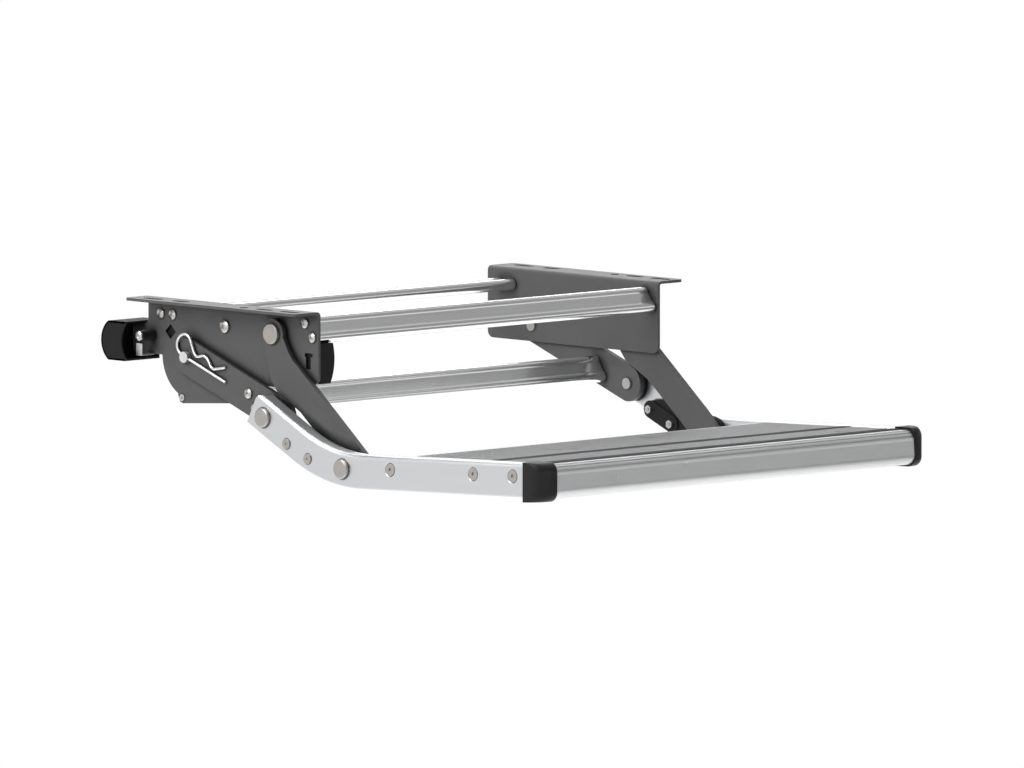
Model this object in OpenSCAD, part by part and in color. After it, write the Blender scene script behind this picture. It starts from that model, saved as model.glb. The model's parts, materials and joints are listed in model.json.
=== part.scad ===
// Caravan pull out step: two side plates screwed under the floor carry a folding four-bar linkage.
// Rear links, joined by a cross tube, and front links hold an aluminium tread on two bent rails.
// It is drawn pulled out, hanging from its flanges: the flange tops are at z = 0, the front is at -Y.

/* [Side plates] */
// Clear width between the side plates
clear_w = 500; // [360:10:620]
// Thickness of the bent steel plates
plate_t = 3; // [2:0.5:4]
// Distance from the mounting centre to the front edge of the plates
plate_front = 127; // [120:1:140]
// Distance from the mounting centre to the rear edge of the plates
plate_rear = 137; // [130:1:160]
// Height of the plates below the flange tops
plate_h = 78; // [70:1:90]
// Radius of the lower corners of the plates
plate_corner = 8; // [4:1:14]
// Outer radius of the bend between plate and flange
bend_r = 5; // [4:0.5:7]
// Width of a flange, measured from the inner face of the plate
flange_w = 38; // [32:1:50]
// Depth of the ear on the drive side's plate below the flange tops
ear_h = 112; // [104:1:120]
// Radius of the ear around the rear pivot
ear_r = 46.7; // [40:0.1:50]

/* [Mounting slots] */
// Width of the flange slots, for M8 bolts
slot_w = 9; // [7:0.5:11]
// Distance of the slot row from the inner face of the plate
slot_row = 24.5; // [20:0.5:30]
// Distance between the outermost slots, front to back
slot_span = 212; // [190:1:220]
// Length of the rearmost slot
slot_long = 28; // [20:1:34]
// Length of the other slots
slot_short = 24; // [18:1:30]
// Distance of the round locating hole in front of the mounting centre
hole_front = 35; // [25:1:45]

/* [Linkage] */
// Distance of the front pivot in front of the mounting centre
front_pivot = 63.5; // [55:0.5:75]
// Depth of the front pivot below the flange tops
front_pivot_z = 26.8; // [24:0.2:34]
// Distance of the rear pivot behind the mounting centre
rear_pivot = 68.5; // [60:0.5:80]
// Depth of the rear pivot below the flange tops
rear_pivot_z = 60.7; // [54:0.1:62]
// Length of a front link between its pivots
front_link_len = 188.6; // [180:0.2:198]
// Slope of the front links with the step pulled out
front_link_slope = 44.9; // [42:0.1:48]
// Length of a rear link between its pivots
rear_link_len = 153.5; // [146:0.5:162]
// Slope of the rear links with the step pulled out
rear_link_slope = 20.3; // [18:0.1:24]
// Thickness of the link plates
link_t = 6; // [4:0.5:8]
// Radius of the ends of a rear link
link_end_r = 19.5; // [17:0.5:22]
// Diameter of the pivot pins
pin_d = 12; // [10:0.5:14]
// Running clearance of a link on its pin, on the radius
pin_fit = 0.05; // [0.02:0.01:0.1]
// Thickness of the slide washers between plates and links
washer_t = 1.5; // [1:0.5:3]
// Thickness of the plastic discs between links and rails
spacer_t = 4.5; // [3:0.5:7]
// Thickness of a rivet head
rivet_head_t = 4.5; // [3:0.5:6]

/* [Cross tubes] */
// Width of the flat oval tubes
tube_w = 31; // [29:0.5:34]
// Thickness of the flat oval tubes
tube_t = 12.5; // [12:0.5:14]
// Wall of the tubes
tube_wall = 1.6; // [1.2:0.1:2]
// Thread diameter of the tube screws
tube_screw_d = 6; // [5:1:6]

/* [Rails] */
// Height of the rail profile
rail_h = 39; // [36:1:46]
// Width of the rail profile
rail_w = 20; // [16:1:26]
// Wall of the rail profile
rail_wall = 2.5; // [2:0.25:3]
// Radius of the long edges of a rail
rail_edge_r = 4.5; // [3:0.5:5]
// Rise of the tread towards its front
tread_tilt = 2.1; // [1:0.1:4]
// Slope of the rear part of a rail
rail_slope = 27; // [25:0.5:29]
// Radius of the bend along the middle of a rail
rail_bend_r = 200; // [120:5:220]
// Length of a rail in front of its knee
rail_front_len = 300; // [290:1:340]
// Distance of the rail's straight front part below the front links' lower pivots
rail_drop = 3.6; // [2:0.1:6]

/* [Tread] */
// Depth of the tread board, rear edge to nose
board_depth = 233; // [215:1:245]
// Height of the tread board
board_h = 37; // [34:1:40]
// Wall of the tread board
board_wall = 2.5; // [2:0.25:3.5]
// How far the nose stands in front of the rails
nose_out = 29; // [24:1:34]
// Width of an anti-slip strip
strip_w = 16; // [10:1:20]
// Height of an anti-slip strip above the board
strip_proud = 0.8; // [0.4:0.1:1.5]
// Number of ribs along the board's top
rib_count = 36; // [20:1:44]
// Height of a rib
rib_h = 0.5; // [0.3:0.1:0.8]

/* [Drive] */
// Width of the drive housing inside the left plate
housing_w = 21.5; // [18:0.5:28]
// Height of the drive housing
housing_h = 44; // [38:1:50]
// Wall of the housing and of the hood
shell_t = 2; // [1.5:0.1:3]
// Length of the hood behind the left plate
hood_len = 37; // [30:1:48]
// Height of the hood
hood_h = 42; // [40:1:44]
// Wire diameter of the spring clip
clip_d = 3; // [2.5:0.1:3.4]

/* [Hidden] */
$fn = 48;

// Gap between pieces that only pass each other
gap = 0.3;
// Small overlap that makes two solids of one piece join
join = 0.01;

// Places across the step, from the middle outwards
plate_in = clear_w / 2;
plate_out = plate_in + plate_t;
link_in = plate_out + washer_t;
link_out = link_in + link_t;
rail_in = link_out + spacer_t;
rail_out = rail_in + rail_w;

// Pivots as [y, z], with the step pulled out
front_top = [-front_pivot, -front_pivot_z];
rear_top = [rear_pivot, -rear_pivot_z];
front_low = front_top - front_link_len * [cos(front_link_slope), sin(front_link_slope)];
rear_low = rear_top - rear_link_len * [cos(rear_link_slope), sin(rear_link_slope)];

// The rail's middle line: a level part under front_low and a sloping part through rear_low meet at the knee
level_dir = [-cos(tread_tilt), sin(tread_tilt)];
slope_dir = [cos(rail_slope), sin(rail_slope)];
level_at = front_low - [0, rail_drop];
knee = meet(level_at, level_dir, rear_low, slope_dir);
rail_end = knee + rail_front_len * level_dir;
rail_bend = rail_slope + tread_tilt;
bend_len = rail_bend_r * tan(rail_bend / 2);
slope_len = (rear_low - knee) * slope_dir + link_end_r;

// Cross tubes as [middle y, middle z, tilt]; lobe_gap lies between the two screws of a tube end
lobe_gap = tube_w - tube_t;
front_tube_at = [-plate_front + 14.5, -20.5, 52];
rear_tube_at = [plate_rear - 29.5, -18, 0];
lower_tube_at = [rear_low[0] + 43, rear_low[1] + 13, 57];

// Ribs and the strips' places, measured back from the front end of the rails
board_back = board_depth - nose_out;
front_strip_at = -2;
rear_strip_at = front_strip_at + 74;
board_top = rail_h / 2 - 2;
nose_back = 26;
port_d = 10;
stiffeners = 2;
rail_screw_at = [17.5, 77.5, board_back];
rail_screw_up = 5.5;
rail_sink_d = 15.6;

// Stop block screws in front of the lower rear pivots
block_in = link_in - 4.5;
block_r = 9.5;
block_screws = [rear_low + [-36, -25.3], rear_low + [-68.5, -39]];
block_screw_d = 5;

// Head sizes of the screws and rivets
button_d = 10.5;
button_h = 3.3;
rivet_head_d = 20.5;
pivot_head_d = 22;
big_screw = [17, -25];

// Drive side: the square opening, the ear, the hood
square_at = [102.5, -36.4];
square_side = 11.5;
ear_rivet_at = [rear_pivot + 15.4, -ear_h + 6];
tab_top = 29.5;
tab_low = 62;
tab_rear = plate_rear + 24;
hood_front = plate_rear + 5;
hood_out = 30;
hood_in = 18;
hood_top = 27;
bolt_at = [plate_rear - 7.5, -41.5];
bolt_len = 20;

// Point where two lines meet, each given by a point and a direction
function cross2(a, b) = a[0] * b[1] - a[1] * b[0];
function meet(p, d, q, e) = p + d * cross2(q - p, e) / cross2(d, e);
// Two dimensional turn of a point about the origin
function turn(p, a) = [p[0] * cos(a) - p[1] * sin(a), p[0] * sin(a) + p[1] * cos(a)];

// Extrudes a [y, z] outline towards +X from x to x + t
module across(x, t) {
    translate([x, 0, 0]) rotate([90, 0, 90]) linear_extrude(t) children();
}

// A cylinder along X whose middle line passes through the [y, z] point at
module bar(at, x, t, d) {
    translate([x, at[0], at[1]]) rotate([0, 90, 0]) cylinder(h = t, d = d);
}

// The same pieces on the right and, mirrored, on the left
module both_sides() {
    children();
    mirror([1, 0, 0]) children();
}

module left_side() {
    mirror([1, 0, 0]) children();
}

// A bar with round ends between two points; its sides may lie just inside the rounds
module capsule(p, q, r, fill = 0.998) {
    d = q - p;
    side = fill * r;
    translate(p) rotate(atan2(d[1], d[0])) {
        circle(r);
        translate([norm(d), 0]) circle(r);
        translate([0, -side]) square([norm(d), 2 * side]);
    }
}

// Side plates

// Web outline without the rear tab and the ear
module web_outline() {
    c = plate_corner;
    difference() {
        translate([-plate_front, -plate_h]) square([plate_front + plate_rear, plate_h - bend_r]);
        for (s = [-1, 1]) {
            at = s < 0 ? -plate_front : plate_rear;
            translate([at - s * c, -plate_h + c]) difference() {
                translate([s < 0 ? -c - 1 : 0, -c - 1]) square(c + 1);
                circle(c);
            }
        }
    }
}

// Web of the drive side, with its rear tab and the ear round the rear pivot
module drive_web_outline() {
    fillet = 5;
    ear_front = 5;
    skirt = [-66, -84.5];
    difference() {
        web_outline();
        translate([rear_pivot + ear_r - 10, -plate_h - 1]) square([60, plate_h + 1 - tab_low]);
    }
    translate([plate_rear - 35, -tab_low]) square([tab_rear - plate_rear + 35, tab_low - tab_top]);
    translate([plate_rear - join, -tab_top - join]) difference() {
        square(fillet);
        translate([fillet, fillet]) circle(fillet);
    }
    translate(rear_top) circle(ear_r);
    polygon([[skirt[0] - 10, -plate_h + 2], [skirt[0], skirt[1]], [ear_front - 6, skirt[1]],
        [ear_front, skirt[1] - 6], [ear_front, -ear_h + 5.5], ear_rivet_at + [-1, -6],
        ear_rivet_at + [3.5, -4.6], ear_rivet_at + [7, 3], rear_top]);
}

module flange() {
    len = plate_front + plate_rear;
    r = 5;
    translate([plate_in + bend_r, -plate_front, -plate_t]) difference() {
        cube([flange_w - bend_r, len, plate_t]);
        for (y = [0, len]) {
            s = y == 0 ? 1 : -1;
            translate([flange_w - bend_r - r, y + s * r, -1]) difference() {
                translate([0, s > 0 ? -r - 1 : 0, 0]) cube([r + 1, r + 1, plate_t + 2]);
                cylinder(h = plate_t + 2, r = r);
            }
        }
    }
}

// Quarter round bend between web and flange
module bend() {
    translate([plate_in + bend_r, -plate_front, -bend_r]) rotate([-90, 0, 0])
        intersection() {
            difference() {
                cylinder(h = plate_front + plate_rear, r = bend_r);
                translate([0, 0, -1]) cylinder(h = plate_front + plate_rear + 2, r = bend_r - plate_t);
            }
            translate([-bend_r, -bend_r, 0]) cube([bend_r, bend_r, plate_front + plate_rear]);
        }
}

module flange_slot(y, len) {
    hull_len = len - slot_w;
    translate([plate_in + slot_row, y, -plate_t - 1]) linear_extrude(plate_t + 2) {
        capsule([0, -hull_len / 2], [0, hull_len / 2], slot_w / 2, 1);
    }
}

// Clearance holes for the two screws of a tube end, through a plate of thickness t at x
module tube_holes(at, x, t) {
    for (s = [-1, 1]) {
        bar([at[0], at[1]] + turn([s * lobe_gap / 2, 0], at[2]), x - 1, t + 2, tube_screw_d + 0.5);
    }
}

module plate_holes() {
    flange_slot(slot_span / 2, slot_long);
    flange_slot(slot_span / 2 - 43, slot_short);
    flange_slot(-slot_span / 2, slot_long);
    flange_slot(-slot_span / 2 + 40, slot_short);
    translate([plate_in + slot_row, -hole_front, -plate_t - 1]) cylinder(h = plate_t + 2, d = slot_w + 1);
    tube_holes(front_tube_at, plate_in, plate_t);
    tube_holes(rear_tube_at, plate_in, plate_t);
    bar(front_top, plate_in - 1, plate_t + 2, pin_d);
    bar(rear_top, plate_in - 1, plate_t + 2, pin_d + 2 * pin_fit);
}

module hook_slot() {
    top = -45;
    translate([-plate_front + 12, top - 17]) square([7.5, 14]);
    translate([-plate_front + 9, top - 4]) square([12, 4]);
}

module right_side_plate() {
    color("#5e5e5e") difference() {
        union() {
            across(plate_in, plate_t) web_outline();
            bend();
            flange();
        }
        plate_holes();
    }
}

module left_side_plate() {
    color("#5e5e5e") left_side() difference() {
        union() {
            across(plate_in, plate_t) drive_web_outline();
            bend();
            flange();
        }
        plate_holes();
        across(plate_in - 1, plate_t + 2) {
            hook_slot();
            translate(square_at) rotate(45) square(square_side, center = true);
        }
        bar(big_screw, plate_in - 1, plate_t + 2, 8.4);
        bar(ear_rivet_at, plate_in - 1, plate_t + 2, 4);
        bar(bolt_at, plate_in - 1, plate_t + 2, 8);
    }
}

// Cross tubes

// Two round lobes with a screw bore each, joined by a hollow waist
module tube_profile() {
    h = lobe_gap / 2;
    waist = tube_t - 2.4;
    difference() {
        union() {
            for (s = [-1, 1]) translate([s * h, 0]) circle(d = tube_t);
            square([lobe_gap, waist], center = true);
        }
        square([lobe_gap - tube_screw_d - 2 * tube_wall, waist - 2 * tube_wall], center = true);
        for (s = [-1, 1]) translate([s * h, 0]) circle(d = tube_screw_d + 0.1);
    }
}

module cross_tube(at, half) {
    across(-half, 2 * half) translate([at[0], at[1]]) rotate(at[2]) tube_profile();
}

module front_tube() {
    color("#d8dadd") cross_tube(front_tube_at, plate_in);
}

module rear_tube() {
    color("#d8dadd") cross_tube(rear_tube_at, plate_in);
}

module lower_tube() {
    color("#d8dadd") cross_tube(lower_tube_at, link_in);
}

// Button head screw along -X, its head's seat at x = 0
module button_screw(d, head_d, head_h, len) {
    difference() {
        rotate([0, 90, 0]) rotate_extrude() intersection() {
            translate([0, head_h - head_d]) circle(head_d, $fn = 96);
            square([head_d / 2, head_h]);
        }
        translate([head_h * 0.35, 0, 0]) rotate([0, 90, 0]) cylinder(h = head_h, d = d * 0.67, $fn = 6);
    }
    rotate([0, -90, 0]) cylinder(h = len, d = d);
}

module tube_screw_pair(at, x) {
    for (s = [-1, 1]) {
        p = [at[0], at[1]] + turn([s * lobe_gap / 2, 0], at[2]);
        translate([x, p[0], p[1]]) button_screw(tube_screw_d, button_d, button_h, 22);
    }
}

module frame_tube_screws() {
    color("#c9c5c0") both_sides() {
        tube_screw_pair(front_tube_at, plate_out);
        tube_screw_pair(rear_tube_at, plate_out);
    }
}

module lower_tube_screws() {
    color("#c9c5c0") both_sides() tube_screw_pair(lower_tube_at, link_out);
}

// Drive on the inside of the left plate

// Front view of the housing: flat against the plate, rounded towards the middle
module housing_outline(shrink) {
    w = housing_w - shrink;
    h = housing_h - 2 * shrink;
    intersection() {
        translate([shrink, -h / 2]) square([w - shrink, h]);
        translate([w - 60, 4]) circle(60, $fn = 128);
    }
}

housing_mid = -plate_h + 1 + housing_h / 2;

module drive_housing() {
    color("#2b2b2c") left_side() difference() {
        translate([plate_in, -plate_front + 1, housing_mid]) mirror([1, 0, 0]) rotate([-90, 0, 0])
            linear_extrude(plate_rear + plate_front - 14) mirror([0, 1]) housing_outline(0);
        translate([plate_in, -plate_front + 1 + shell_t, housing_mid]) mirror([1, 0, 0])
            rotate([-90, 0, 0]) linear_extrude(plate_rear + plate_front) mirror([0, 1])
                housing_outline(shell_t);
        bar(rear_top, plate_in - housing_w - 1, housing_w + 2, pivot_head_d + 4);
        bar(square_at, plate_in - shell_t - 3, shell_t + 4, square_side + 8);
        bar(big_screw, plate_in - shell_t - 1, shell_t + 2, 8.4);
        across(plate_in - housing_w - 1, housing_w + 2) tube_clearance(front_tube_at);
    }
}

// Room around the end of a cross tube
module tube_clearance(at) {
    far = turn([lobe_gap / 2, 0], at[2]);
    middle = [at[0], at[1]];
    capsule(middle - far, middle + far, tube_t / 2 + 2 * gap);
}

// Side view of the hood, rounded at the rear
module hood_outline(shrink) {
    r = 14 - shrink;
    h = hood_h - 2 * shrink;
    translate([hood_front - join, -hood_top - hood_h + shrink]) {
        square([hood_len - 14, h]);
        translate([0, r]) square([hood_len - shrink, h - 2 * r]);
        for (z = [r, h - r]) translate([hood_len - 14, z]) circle(r);
    }
}

// Plan view of the hood as [across, back], rounded at its outer rear edge
module hood_plan(shrink) {
    r = 12 - shrink;
    w = hood_in + hood_out + plate_t - 2 * shrink;
    translate([plate_in - hood_in + shrink, hood_front - 2 * join]) {
        square([w, hood_len - 12]);
        square([w - r, hood_len - shrink]);
        translate([w - r, hood_len - 12]) circle(r);
    }
}

module hood_body(shrink) {
    width = hood_in + hood_out + plate_t;
    intersection() {
        across(plate_in - hood_in - 1, width + 2) hood_outline(shrink);
        translate([0, 0, -hood_top - hood_h - 1]) linear_extrude(hood_h + 2) hood_plan(shrink);
    }
}

// Shell that keeps water off the cable end; its mouth is cut in an arc
module drive_hood() {
    mouth_r = 33;
    mouth_depth = 6;
    color("#2b2b2c") left_side() difference() {
        hood_body(0);
        translate([0, -1, 0]) hood_body(shell_t);
        bar([hood_front + mouth_depth - mouth_r, -hood_top - hood_h / 2], plate_out + gap, hood_out + 9, 2 * mouth_r);
        translate([plate_in - gap, hood_front - 1, -tab_low - gap])
            cube([plate_t + 2 * gap, tab_rear - hood_front + 1 + gap, tab_low - tab_top + 2 * gap]);
    }
}

// Motor lying in the housing, with the gearbox that the hand drive shaft turns
module drive_motor() {
    d = housing_w - 2 * shell_t - 3;
    mid = plate_in - shell_t - d / 2 - 1;
    gear_l = 54;
    color("#77797c") left_side() {
        translate([mid, -100, housing_mid]) rotate([-90, 0, 0]) cylinder(h = 162, d = d);
        translate([mid - d / 2 + 1, 60, housing_mid - 8]) cube([d - 2, gear_l, 26]);
        for (y = [-60, 20]) translate([mid, y, housing_mid - housing_h / 2 + shell_t])
            cylinder(h = housing_h / 3, d = 4);
    }
}

module hand_drive_shaft() {
    side = 9;
    len = 2.6;
    color("#3c3c3e") left_side() translate([plate_in - shell_t - 2, square_at[0], square_at[1]])
        rotate([45, 0, 0]) translate([0, -side / 2, -side / 2]) cube([len, side, side]);
}

module housing_screw() {
    color("#c9c5c0") left_side() translate([plate_out, big_screw[0], big_screw[1]])
        button_screw(8, 13.5, 4.2, plate_t + shell_t + 4);
}

module hood_spacer() {
    color("#2b2b2c") left_side() difference() {
        bar(bolt_at, plate_out, bolt_len, 11);
        bar(bolt_at, plate_out - 1, bolt_len + 2, 8.2);
    }
}

module hood_bolt() {
    color("#c9c5c0") left_side() translate([plate_out + bolt_len, bolt_at[0], bolt_at[1]])
        button_screw(7.9, 10.5, 3.3, bolt_len + plate_t + 1);
}

module cable_terminal() {
    color("#c6c8ca") left_side() {
        translate([plate_out, bolt_at[0] - 1.5, bolt_at[1] - 21.5]) cube([18, 9, 1.5]);
        translate([plate_out + 16.5, bolt_at[0] - 1.5, bolt_at[1] - 21.5]) cube([1.5, 9, 13]);
    }
}

module ear_rivet() {
    color("#c9c5c0") left_side() difference() {
        union() {
            bar(ear_rivet_at, plate_out, 1.2, 7.5);
            bar(ear_rivet_at, plate_in - 1.2, plate_t + 1.2 + join, 3.9);
            bar(ear_rivet_at, plate_in - 1.2, 1.2, 6.5);
        }
        bar(ear_rivet_at, plate_in - 2, plate_t + 6, 2.4);
    }
}

// Pivots in the side plates

module flat_rivet(at, x0, x1, d, head_d) {
    bar(at, x0, x1 + 1 - x0, d);
    translate([x1, at[0], at[1]]) rotate([0, 90, 0]) rotate_extrude()
        polygon([[0, 0], [head_d / 2, 0], [head_d / 2, rivet_head_t - 1.2],
            [head_d / 2 - 1.2, rivet_head_t - 0.3], [0, rivet_head_t - 0.3]]);
}

module front_pivot_rivets() {
    color("#aca8a5") both_sides() {
        flat_rivet(front_top, plate_in - 1, link_out, pin_d, pivot_head_d);
    }
}

module rear_pivot_rivet() {
    color("#aca8a5") flat_rivet(rear_top, plate_in - 2, link_out, pin_d, pivot_head_d);
}

module slide_washers() {
    color("#d9d6cf") both_sides() for (p = [front_top, rear_top]) {
        difference() {
            bar(p, plate_out, washer_t, pin_d + 12);
            bar(p, plate_out - 1, washer_t + 2, pin_d + 2 * pin_fit);
        }
    }
}

// Links

// Dog-leg outline of a front link: a head round the upper pivot, an elbow, a round foot
module front_link_outline() {
    foot_r = 17.2;
    head_r = 16;
    arm_slope = front_link_slope - 5.5;
    n = foot_r * [-sin(arm_slope), cos(arm_slope)];
    polygon([
        front_top + [-15.4, -2],
        front_top + [-24.5, -17.8],
        front_top + [-31, -26],
        front_top + [-43, -35.8],
        front_low + n,
        front_low - n,
        front_top + [-43.5, -80.8],
        front_top + [-9, -62.6],
        front_top + [1.5, -49.8],
        front_top + [15.6, -3],
        front_top
    ]);
    translate(front_top) circle(head_r);
    translate(front_low) circle(foot_r);
}

module front_link() {
    difference() {
        across(link_in, link_t) front_link_outline();
        bar(front_top, link_in - 1, link_t + 2, pin_d + 2 * pin_fit);
        bar(front_low, link_in - 1, link_t + 2, pin_d);
    }
}

module left_front_link() {
    color("#5e5e5e") left_side() front_link();
}

module right_front_link() {
    color("#5e5e5e") front_link();
}

// Bush pressed into the foot of a front link, with the disc that slides on the rail
module front_link_bushes() {
    color("#2b2b2c") both_sides() {
        bar(front_low, link_in - 1.5, link_t + 1.5 + join, pin_d);
        bar(front_low, link_out, spacer_t - gap, 2 * link_end_r - 1);
    }
}

module rear_link() {
    difference() {
        across(link_in, link_t) capsule(rear_top, rear_low, link_end_r);
        bar(rear_top, link_in - 1, link_t + 2, pin_d + 2 * pin_fit);
        bar(rear_low, link_in - 1, link_t + 2, pin_d + 2 * pin_fit);
        tube_holes(lower_tube_at, link_in, link_t);
    }
}

module left_rear_link() {
    color("#5e5e5e") left_side() rear_link();
}

module right_rear_link() {
    color("#5e5e5e") rear_link();
}

// Clevis pin of the left rear pivot; the spring clip goes through the cross hole at its end
clip_x = link_out + clip_d / 2 + 0.6;

module clevis_pin() {
    color("#cfd1d3") left_side() difference() {
        union() {
            bar(rear_top, plate_in - 2, clip_x + clip_d / 2 + 2.4 - plate_in + 2, pin_d);
            bar(rear_top, plate_in - 2.2, 2, pin_d + 6);
        }
        translate([clip_x, rear_top[0], rear_top[1]]) rotate([90 + rear_link_slope, 0, 0])
            cylinder(h = pin_d + 6, d = clip_d + 0.3, center = true);
    }
}

// Path of the spring clip as [along the link, away from it]: straight leg, loop, wavy leg
clip_path = [[66, 0], [50, 0], [34, 0], [18, 0], [6, 0], [-6, 0], [-12, 1.5], [-16.5, 6], [-17.5, 12],
    [-15, 18.5], [-9, 22.8], [-2, 21.8], [3.5, 17], [9, 11], [14.5, 7.6], [19.5, 9.5], [25, 12.6],
    [31, 12.2], [36, 9.2], [40, 6.4], [44.5, 6], [50, 9], [60.5, 15]];
clip_steps = 3;
clip_sides = 8;

// Point of a smooth curve through the points p, at step t after point i
function at_end(p, i) = p[min(max(i, 0), len(p) - 1)];
function curve(p, i, t) = let (a = at_end(p, i - 1), b = p[i], c = at_end(p, i + 1), d = at_end(p, i + 2))
    0.5 * (2 * b + (c - a) * t + (2 * a - 5 * b + 4 * c - d) * t * t + (3 * b - a - 3 * c + d) * t * t * t);

// Solid through a list of rings, each with the same number of points
module sweep(rings) {
    n = len(rings);
    m = len(rings[0]);
    walls = [for (i = [0:n - 2], k = [0:m - 1])
        each [[i * m + k, i * m + (k + 1) % m, (i + 1) * m + k],
            [i * m + (k + 1) % m, (i + 1) * m + (k + 1) % m, (i + 1) * m + k]]];
    ends = [[for (k = [m - 1:-1:0]) k], [for (k = [0:m - 1]) (n - 1) * m + k]];
    polyhedron([for (r = rings) each r], concat(walls, ends));
}

// Rings of a wire of diameter d round a path of [y, z] points
function wire_rings(p, d) = [for (i = [0:len(p) - 1])
    let (way = at_end(p, i + 1) - at_end(p, i - 1), u = way / norm(way))
        [for (k = [0:clip_sides - 1]) let (a = 360 * k / clip_sides)
            [d / 2 * sin(a), p[i][0] - u[1] * d / 2 * cos(a), p[i][1] + u[0] * d / 2 * cos(a)]]];

module spring_clip() {
    smooth = [for (i = [0:len(clip_path) - 2], k = [0:clip_steps - 1])
        curve(clip_path, i, k / clip_steps)];
    fine = concat(smooth, [clip_path[len(clip_path) - 1]]);
    way = 180 + rear_link_slope;
    placed = [for (q = fine) rear_top + turn([q[0], -q[1]], way)];
    color("#d5d7d9") left_side() translate([clip_x, 0, 0]) sweep(wire_rings(placed, clip_d));
}

// Discs between the rear links and the rails
module rail_spacers() {
    color("#2b2b2c") both_sides() difference() {
        bar(rear_low, link_out, spacer_t, 2 * link_end_r - 1);
        bar(rear_low, link_out - 1, spacer_t + 2, pin_d + 2 * pin_fit);
    }
}

// Rivets through rail and rear link
module link_rivets() {
    color("#aca8a5") both_sides() flat_rivet(rear_low, link_in - 2.5, rail_out, pin_d, rivet_head_d);
}

// Rivets of the front links: the part in the rail, which the link's bush meets face to face
module tread_rivets() {
    color("#aca8a5") both_sides() flat_rivet(front_low, rail_in, rail_out, pin_d, rivet_head_d);
}

// Rails

// Points round a rectangle with rounded corners, as [across, up]
function rounded_points(w, h, r, steps) = [for (c = [0:3], i = [0:steps])
    let (a = 90 * (c + i / steps), sx = (c == 0 || c == 3) ? 1 : -1, sy = c < 2 ? 1 : -1)
        [sx * (w / 2 - r) + r * cos(a), sy * (h / 2 - r) + r * sin(a)]];

// Places along the rail's middle line as [y, z, slope]; the ends reach out by more
bend_centre = knee + bend_len * level_dir + rail_bend_r * [sin(tread_tilt), cos(tread_tilt)];
bend_steps = 14;
function rail_places(more) = concat(
    [concat(rail_end + more * level_dir, -tread_tilt)],
    [for (i = [0:bend_steps]) let (a = rail_bend * i / bend_steps - tread_tilt)
        concat(bend_centre + rail_bend_r * [sin(a), -cos(a)], a)],
    [concat(knee + (slope_len + more) * slope_dir, rail_slope)]);

function rail_rings(places, profile) = [for (p = places) [for (q = profile)
    [rail_in + rail_w / 2 + q[0], p[0] - q[1] * sin(p[2]), p[1] + q[1] * cos(p[2])]]];

module rail() {
    rear_r = 8;
    inner_w = rail_w - 2 * rail_wall;
    inner_h = rail_h - 2 * rail_wall;
    difference() {
        sweep(rail_rings(rail_places(0), rounded_points(rail_w, rail_h, rail_edge_r, 5)));
        sweep(rail_rings(rail_places(1), rounded_points(inner_w, inner_h, 1, 1)));
        across(rail_in - 1, rail_w + 2) translate(knee) rotate(rail_slope)
            translate([slope_len - rear_r, rail_h / 2 - rear_r]) difference() {
                square(rear_r + 1);
                circle(rear_r);
            }
        bar(rear_low, rail_in - 1, rail_w + 2, pin_d);
        bar(front_low, rail_in - 1, rail_w + 2, pin_d);
        for (p = block_screws) bar(p, rail_in - 1, rail_w + 2, block_screw_d);
        for (s = rail_screw_at) on_tread([s, rail_screw_up]) {
            translate([rail_in - 1, 0, 0]) rotate([0, 90, 0]) cylinder(h = rail_w + 2, d = 6);
            translate([rail_out - rail_wall, 0, 0]) rotate([0, 90, 0])
                cylinder(h = rail_wall + join, d1 = 9, d2 = rail_sink_d);
        }
    }
}

module left_rail() {
    color("#cfd1d4") left_side() rail();
}

module right_rail() {
    color("#cfd1d4") rail();
}

// Puts a child at s mm behind the rails' front end and h mm above their middle line
module on_tread(p) {
    translate([0, rail_end[0], rail_end[1]]) rotate([-tread_tilt, 0, 0]) translate([0, p[0], p[1]])
        children();
}

// Front part of the board's profile: a box with two rounded front edges
module nose_box(shrink) {
    r = 11 - shrink;
    x0 = -nose_out + shrink;
    low = board_top - board_h + shrink;
    high = board_top - shrink;
    translate([x0 + r, low]) square([nose_back - shrink - x0 - r, high - low]);
    translate([x0, low + r]) square([nose_back - shrink - x0, high - low - 2 * r]);
    for (z = [low + r, high - r]) translate([x0 + r, z]) circle(r);
}

// Round port along the board that takes a rail screw at each end, hung from the top plate
module screw_port(s) {
    translate([s, rail_screw_up]) circle(d = port_d);
    translate([s - board_wall / 2, rail_screw_up]) square([board_wall, board_top - rail_screw_up - 2.2]);
}

// Side outline of the tread board, an open profile with a box nose
module board_outline() {
    low = board_top - board_h;
    lip_low = low + 8;
    difference() {
        union() {
            nose_box(0);
            translate([0, board_top - board_wall]) square([board_back, board_wall]);
            for (s = [front_strip_at, rear_strip_at])
                translate([s - strip_w / 2 - 2, board_top - 2 - board_wall]) square([strip_w + 4, board_wall + 1]);
            for (i = [0:rib_count - 1]) {
                translate([14 + i * (board_back - 20) / rib_count, board_top - join]) square([2.4, rib_h + join]);
            }
            translate([board_back - board_wall, lip_low]) square([board_wall, board_top - lip_low]);
            translate([board_back - 14, lip_low]) square([14, board_wall]);
            for (i = [0:stiffeners - 1]) {
                at = rear_strip_at + 22 + i * (board_back - rear_strip_at - 30) / stiffeners;
                translate([at, board_top - 14]) square([board_wall, 13]);
                translate([at - 3, board_top - 14]) square([board_wall + 6, board_wall]);
            }
        }
        difference() {
            nose_box(board_wall);
            translate([front_strip_at - strip_w / 2 - 2, board_top - 2 - board_wall]) square([strip_w + 4, 9]);
        }
        for (a = [18, 42, 66]) translate([-nose_out + 11, board_top - 11] + 11.5 * [-cos(90 - a), sin(90 - a)])
            circle(1.1);
        for (s = [front_strip_at, rear_strip_at])
            translate([s - strip_w / 2, board_top - 2]) square([strip_w, 4]);
    }
    for (s = rail_screw_at) screw_port(s);
}

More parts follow.
